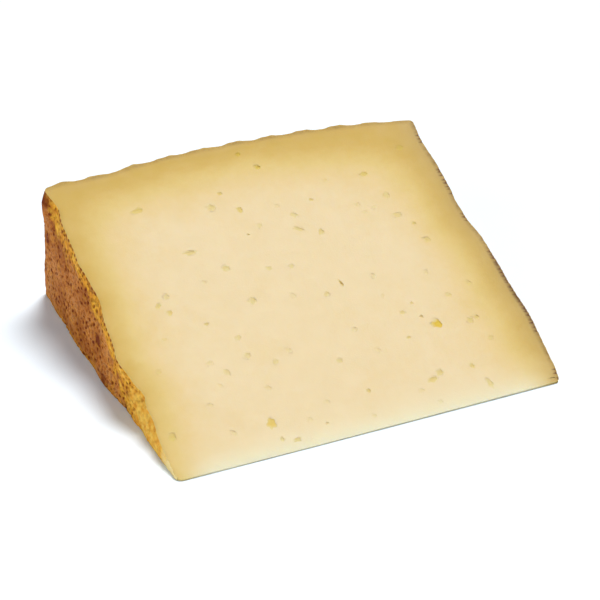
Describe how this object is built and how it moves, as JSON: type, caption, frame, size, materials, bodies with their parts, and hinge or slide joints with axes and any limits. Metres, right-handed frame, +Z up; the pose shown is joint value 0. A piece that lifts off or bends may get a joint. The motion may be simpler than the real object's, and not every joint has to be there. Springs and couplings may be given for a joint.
{
  "type": "iberico cheese wedge",
  "caption": "Wedge of cured iberico cheese with a brown pitted rind and small eyes, lying on a cut face.",
  "frame": {"origin": "bottom centre of the wedge's box, on the lower cut face", "axes": "+X along the axis of the wheel, +Y from the point of the wedge to the rim, +Z up"},
  "size_m": [0.107, 0.0972, 0.0375],
  "materials": {
    "cheese_paste": "smooth, slightly waxy pale yellow paste, darker under a pitted golden brown rind"
  },
  "bodies": {
    "root": {"cheese_wedge": "cheese_paste"}
  },
  "joints": []
}
